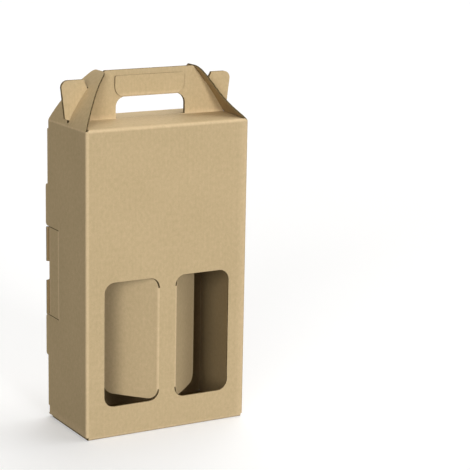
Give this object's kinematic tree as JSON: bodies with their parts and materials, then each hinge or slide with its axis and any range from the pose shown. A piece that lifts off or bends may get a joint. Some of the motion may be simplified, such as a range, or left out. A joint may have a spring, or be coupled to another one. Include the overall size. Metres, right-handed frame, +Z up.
{
  "type": "two-bottle wine carrier",
  "caption": "Kraft corrugated carrier for standing wine bottles, with a double carry handle, bowed gable flaps and window flaps that fold in",
  "frame": {"origin": "middle of the base, on the table", "axes": "+X to the right along the windowed front, +Y from the front to the back, +Z up"},
  "size_m": [0.188, 0.0945, 0.3626],
  "materials": {
    "carton_board": "matt unbleached kraft corrugated board with fine upright flutes and bare cut edges",
    "window_flap_board": "matt unbleached kraft corrugated board, inner liner a little darker",
    "grip_flap_board": "matt unbleached kraft corrugated board"
  },
  "bodies": {
    "carton": {"carton": "carton_board"},
    "left_window_flap": {"left_window_flap": "window_flap_board"},
    "right_window_flap": {"right_window_flap": "window_flap_board"},
    "grip_flap": {"grip_flap": "grip_flap_board"}
  },
  "joints": [
    {"name": "left_window_fold", "type": "hinge", "parent": "carton", "child": "left_window_flap", "pos_m": [-0.0099, -0.0442, 0.09575], "axis": [0, 0, -1], "range_deg": [-50, 40]},
    {"name": "right_window_fold", "type": "hinge", "parent": "carton", "child": "right_window_flap", "pos_m": [0.0099, -0.0442, 0.09575], "axis": [0, 0, 1], "range_deg": [-44, 46]},
    {"name": "grip_fold", "type": "hinge", "parent": "carton", "child": "grip_flap", "pos_m": [0, -0.00285, 0.3365], "axis": [1, 0, 0], "range_deg": [0, 175]}
  ]
}
